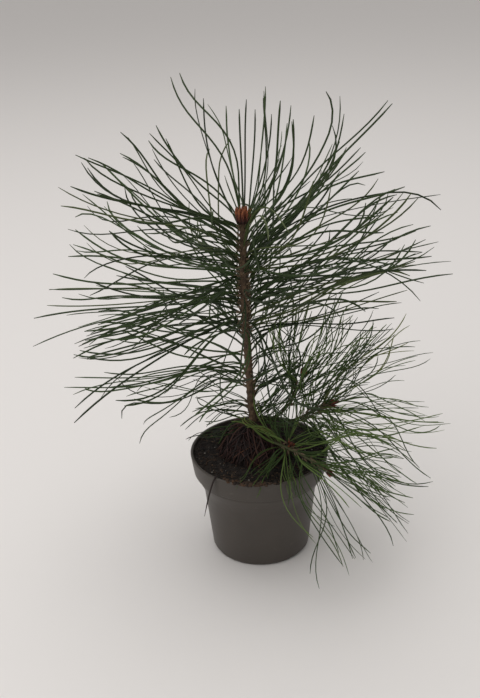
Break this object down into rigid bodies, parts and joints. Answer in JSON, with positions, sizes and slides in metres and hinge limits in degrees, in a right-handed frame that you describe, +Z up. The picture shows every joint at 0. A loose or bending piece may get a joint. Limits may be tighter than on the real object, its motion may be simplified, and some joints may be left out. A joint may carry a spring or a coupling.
{
  "type": "young scots pine tree in a nursery pot",
  "caption": "Young Scots pine with a slender upright stem, long needles in open sprays, rust-brown buds at its tip and bushy low side shoots, in a round plastic nursery pot filled with compost.",
  "frame": {"origin": "centre of the pot's flat underside, on the surface that the pot stands on", "axes": "+Z up along the trunk; +X to the plant's right, the side with the low side shoots; -Y to the front"},
  "size_m": [0.2414, 0.2239, 0.3002],
  "materials": {
    "pot_plastic": "matte, slightly scuffed, taupe grey",
    "compost": "dark brown peat, crumbly, matte",
    "bark": "young brown bark with raised leaf scars, matte",
    "buds": "rust-red papery bud scales, satin",
    "dead_needles": "dry, dark red-brown needles, matte",
    "crown_needles": "dark green needles, satin",
    "side_needles": "fresh mid-green needles, satin"
  },
  "bodies": {
    "root": {"pot": "pot_plastic", "compost": "compost", "trunk": "bark", "leader_buds": "buds", "bud_front": "buds", "bud_low": "buds", "bud_right": "buds", "bud_upright": "buds", "dead_needles": "dead_needles", "needles_front_1": "side_needles", "needles_front_2": "side_needles", "needles_front_3": "side_needles", "needles_hem_1": "crown_needles", "needles_hem_2": "crown_needles", "needles_low_1": "side_needles", "needles_low_2": "side_needles", "needles_low_3": "side_needles", "needles_lower_1": "crown_needles", "needles_lower_2": "crown_needles", "needles_lower_3": "crown_needles", "needles_lower_4": "crown_needles", "needles_middle_1": "crown_needles", "needles_middle_2": "crown_needles", "needles_middle_3": "crown_needles", "needles_middle_4": "crown_needles", "needles_middle_5": "crown_needles", "needles_middle_6": "crown_needles", "needles_right_1": "side_needles", "needles_right_2": "side_needles", "needles_right_3": "side_needles", "needles_right_4": "side_needles", "needles_right_5": "side_needles", "needles_right_6": "side_needles", "needles_shoulder_1": "crown_needles", "needles_shoulder_2": "crown_needles", "needles_shoulder_3": "crown_needles", "needles_shoulder_4": "crown_needles", "needles_shoulder_5": "crown_needles", "needles_shoulder_6": "crown_needles", "needles_top_1": "crown_needles", "needles_top_2": "crown_needles", "needles_top_3": "crown_needles", "needles_top_4": "crown_needles", "needles_upper_1": "crown_needles", "needles_upper_2": "crown_needles", "needles_upper_3": "crown_needles", "needles_upper_4": "crown_needles", "needles_upper_5": "crown_needles", "needles_upright_1": "side_needles", "needles_upright_2": "side_needles", "needles_upright_3": "side_needles", "shoot_front": "bark", "shoot_low": "bark", "shoot_right": "bark", "shoot_upright": "bark"}
  },
  "joints": []
}
